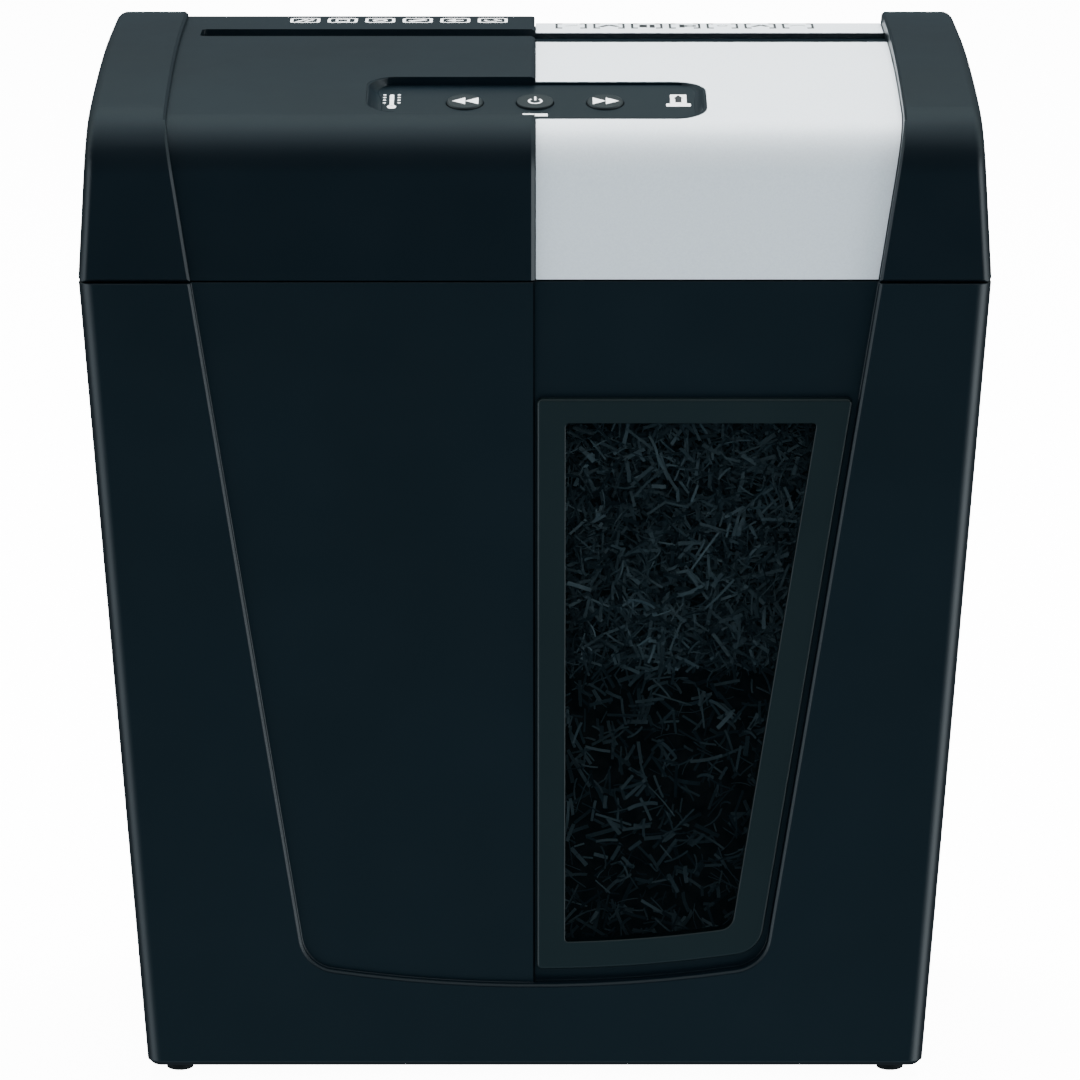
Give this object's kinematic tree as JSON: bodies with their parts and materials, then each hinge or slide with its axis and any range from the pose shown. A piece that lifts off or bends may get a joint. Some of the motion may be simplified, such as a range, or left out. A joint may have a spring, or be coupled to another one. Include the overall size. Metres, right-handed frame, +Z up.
{
  "type": "paper shredder",
  "caption": "Pull-up-head paper shredder: tapered black waste bin with smoked window, lift-off cutter head with paper slot, silver fascia, keys and geared cutters.",
  "frame": {"origin": "centre of the footprint on the floor, under the feet", "axes": "+X to the right of the person facing the machine, front faces -Y, +Z up"},
  "size_m": [0.286, 0.158, 0.3254],
  "materials": {
    "black_plastic": "fine satin moulded black",
    "inner_plastic": "plain moulded dark grey",
    "smoked_window": "polished smoked clear",
    "silver_paint": "satin silver paint on plastic",
    "key_plastic": "satin black with lit rings",
    "plunger_plastic": "plain white acetal",
    "lens_plastic": "milky light pipe",
    "rubber": "soft matt black",
    "steel": "zinc plated",
    "cutter_steel": "hardened, oiled",
    "screw_steel": "dark zinc",
    "gear_nylon": "natural nylon, greased",
    "comb_plastic": "glass filled grey",
    "brass": "turned",
    "motor_case": "dark laminated steel",
    "circuit_board": "green solder mask"
  },
  "bodies": {
    "bin": {"bin_shell": "black_plastic", "window_panel": "smoked_window", "bin_feet": "rubber"},
    "head": {"head_cover": "black_plastic", "silver_fascia": "silver_paint", "silver_strip": "silver_paint", "cord_gland": "rubber", "control_deck": "black_plastic", "status_lens": "lens_plastic", "control_board": "circuit_board", "base_tray": "inner_plastic", "case_screws": "screw_steel", "interlock_switch": "inner_plastic", "power_board": "circuit_board", "paper_guide_front": "inner_plastic", "paper_guide_rear": "inner_plastic", "paper_sensor": "inner_plastic", "left_side_plate": "steel", "right_side_plate": "steel", "rubber_mounts": "rubber", "tie_rods": "steel", "frame_screws": "screw_steel", "cutter_bushings": "brass", "front_stripper_comb": "comb_plastic", "rear_stripper_comb": "comb_plastic", "gear_axles": "steel", "gear_bracket": "steel", "bracket_standoffs": "steel", "motor_body": "motor_case"},
    "front_cutter": {"front_cutter_shaft": "steel", "front_cutter_stack": "cutter_steel", "front_timing_gear": "gear_nylon", "final_drive_gear": "gear_nylon"},
    "rear_cutter": {"rear_cutter_shaft": "steel", "rear_cutter_stack": "cutter_steel", "rear_timing_gear": "gear_nylon"},
    "second_gear": {"second_reduction_gear": "gear_nylon"},
    "first_gear": {"first_reduction_gear": "gear_nylon"},
    "rotor": {"motor_shaft": "steel", "motor_pinion": "brass", "cooling_fan": "inner_plastic"},
    "reverse_key": {"reverse_button": "key_plastic"},
    "power_key": {"power_button": "key_plastic"},
    "forward_key": {"forward_button": "key_plastic"},
    "interlock": {"interlock_plunger": "plunger_plastic"}
  },
  "joints": [
    {"name": "head_lift", "type": "slide", "parent": "bin", "child": "head", "axis": [0, 0, 1], "range_m": [0, 0.14]},
    {"name": "front_cutter_spin", "type": "hinge", "parent": "head", "child": "front_cutter", "pos_m": [0, 0.0255, 0.268], "axis": [1, 0, 0], "continuous": true},
    {"name": "rear_cutter_spin", "type": "hinge", "parent": "head", "child": "rear_cutter", "pos_m": [0, 0.0525, 0.268], "axis": [1, 0, 0], "continuous": true},
    {"name": "second_gear_spin", "type": "hinge", "parent": "head", "child": "second_gear", "pos_m": [0.12, 0.01463, 0.29296], "axis": [1, 0, 0], "continuous": true},
    {"name": "first_gear_spin", "type": "hinge", "parent": "head", "child": "first_gear", "pos_m": [0.12, -0.00752, 0.27934], "axis": [1, 0, 0], "continuous": true},
    {"name": "rotor_spin", "type": "hinge", "parent": "head", "child": "rotor", "pos_m": [0.12, -0.028, 0.265], "axis": [1, 0, 0], "continuous": true},
    {"name": "reverse_press", "type": "slide", "parent": "head", "child": "reverse_key", "axis": [0, 0.225, -0.9744], "range_m": [0, 0.001], "stiffness_N_per_m": 900},
    {"name": "power_press", "type": "slide", "parent": "head", "child": "power_key", "axis": [0, 0.225, -0.9744], "range_m": [0, 0.001], "stiffness_N_per_m": 900},
    {"name": "forward_press", "type": "slide", "parent": "head", "child": "forward_key", "axis": [0, 0.225, -0.9744], "range_m": [0, 0.001], "stiffness_N_per_m": 900},
    {"name": "interlock_travel", "type": "slide", "parent": "head", "child": "interlock", "axis": [0, 0, 1], "range_m": [0, 0.0015], "stiffness_N_per_m": 400}
  ],
  "couplings": [
    {"joint": "rear_cutter_spin", "follows": "front_cutter_spin", "ratio": -1},
    {"joint": "second_gear_spin", "follows": "front_cutter_spin", "ratio": -2.6667},
    {"joint": "first_gear_spin", "follows": "front_cutter_spin", "ratio": 8},
    {"joint": "rotor_spin", "follows": "front_cutter_spin", "ratio": -32}
  ]
}
